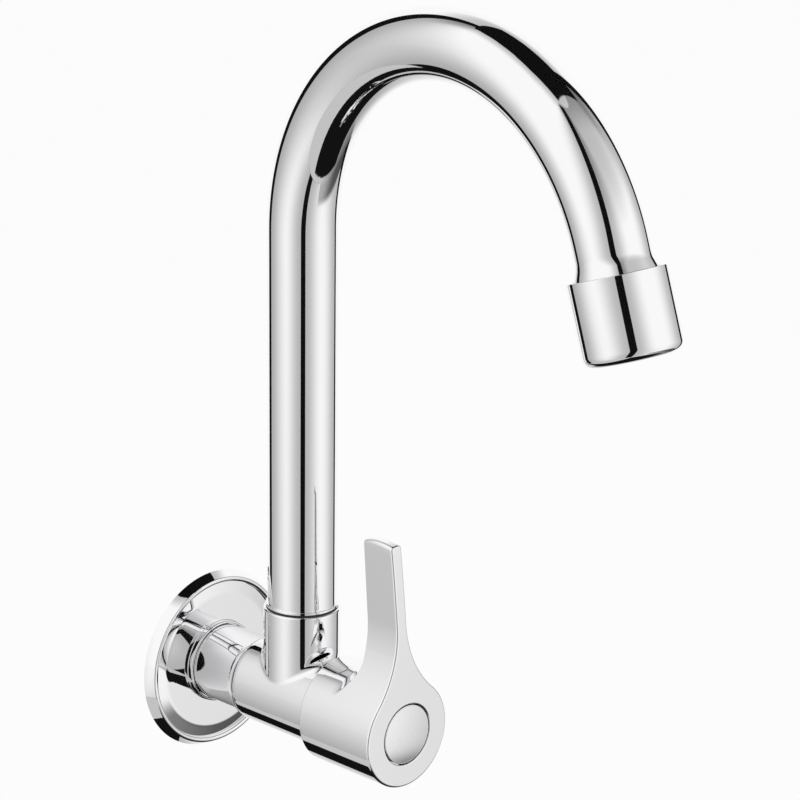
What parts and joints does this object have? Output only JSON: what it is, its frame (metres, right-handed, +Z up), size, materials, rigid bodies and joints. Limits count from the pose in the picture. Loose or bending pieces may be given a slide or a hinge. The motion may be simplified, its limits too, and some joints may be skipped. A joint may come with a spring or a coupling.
{
  "type": "kitchen faucet",
  "caption": "wall-mounted single-lever kitchen faucet with swan-neck swivel spout and ceramic headwork",
  "frame": {"origin": "where the inlet axis meets the wall plane, in the middle of the wall flange's back", "axes": "+Y points into the wall along the inlet axis, +Z is up, +X is to the right of someone who faces the faucet"},
  "size_m": [0.0594, 0.2141, 0.2617],
  "materials": {
    "chrome_plate": "polished chrome plate on brass",
    "plain_brass": "machined brass",
    "stainless_steel": "plain stainless steel",
    "alumina_disc": "lapped alumina ceramic",
    "seal_rubber": "black moulded rubber",
    "gasket_foam": "closed-cell foam rubber",
    "fibre_gasket": "pressed fibre sheet",
    "dark_acetal": "dark moulded acetal",
    "white_acetal": "natural moulded acetal"
  },
  "bodies": {
    "body": {"body_casting": "chrome_plate", "wall_flange": "chrome_plate", "flange_gasket": "gasket_foam", "inlet_strainer": "stainless_steel", "seat_seal": "seal_rubber", "fixed_disc": "alumina_disc", "cartridge_housing": "plain_brass", "headwork_gasket": "fibre_gasket", "retaining_ring": "stainless_steel", "swivel_washer": "dark_acetal"},
    "spout": {"spout_tube": "chrome_plate", "spout_foot": "plain_brass", "spout_o_ring_lower": "seal_rubber", "spout_o_ring_upper": "seal_rubber", "outlet_ferrule": "plain_brass", "aerator_shell": "chrome_plate", "aerator_washer": "seal_rubber", "aerator_body": "white_acetal", "flow_plate": "white_acetal", "aerator_screen": "stainless_steel", "outlet_grille": "white_acetal"},
    "handle": {"handle": "chrome_plate", "index_button": "chrome_plate", "handle_screw": "stainless_steel", "spindle": "plain_brass", "spindle_o_ring_inner": "seal_rubber", "spindle_o_ring_outer": "seal_rubber", "glide_washer": "white_acetal", "spindle_clip": "stainless_steel", "moving_disc": "alumina_disc"}
  },
  "joints": [
    {"name": "spout_swivel", "type": "hinge", "parent": "body", "child": "spout", "pos_m": [0, -0.0424, 0.03], "axis": [0, 0, 1], "range_deg": [-90, 90]},
    {"name": "handle_turn", "type": "hinge", "parent": "body", "child": "handle", "pos_m": [0, -0.062, 0], "axis": [0, -1, 0], "range_deg": [0, 90]}
  ]
}
